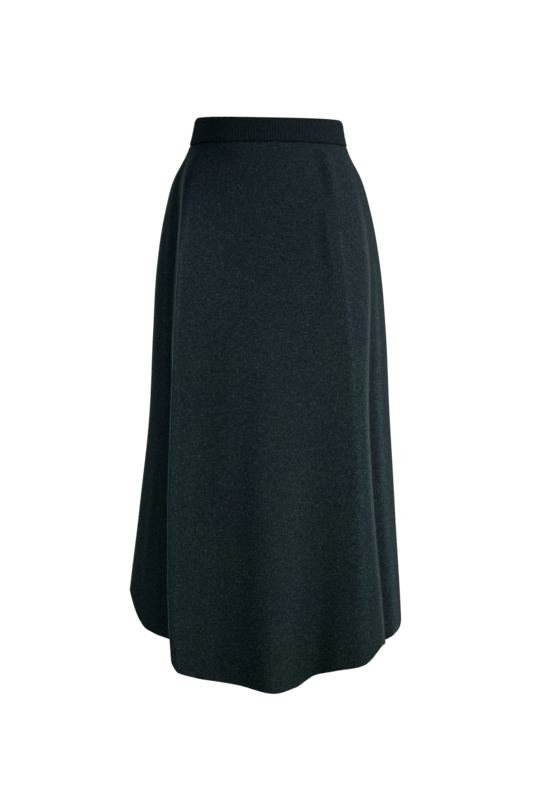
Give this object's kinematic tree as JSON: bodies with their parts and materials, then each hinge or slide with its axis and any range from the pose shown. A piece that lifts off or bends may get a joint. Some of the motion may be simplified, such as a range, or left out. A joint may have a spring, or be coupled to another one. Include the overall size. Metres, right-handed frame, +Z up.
{
  "type": "skirt",
  "caption": "Worn-form midi skirt of milled wool knit: a flared body hanging in deep soft folds, hem rising at the sides, on a fine-rib waistband.",
  "frame": {"origin": "centre of the waistband, at half its height, where the waist holds the skirt", "axes": "+Z up out of the waist, +X towards the viewer's right as the front is seen, -Y the way the front faces"},
  "size_m": [0.4195, 0.3166, 0.87],
  "materials": {
    "milled_knit": "milled wool knit with a short soft nap, very dark green",
    "rib_knit": "fine wool rib knit, very dark green, matt"
  },
  "bodies": {
    "root": {"front_panel": "milled_knit", "back_panel": "milled_knit", "waistband": "rib_knit"}
  },
  "joints": []
}
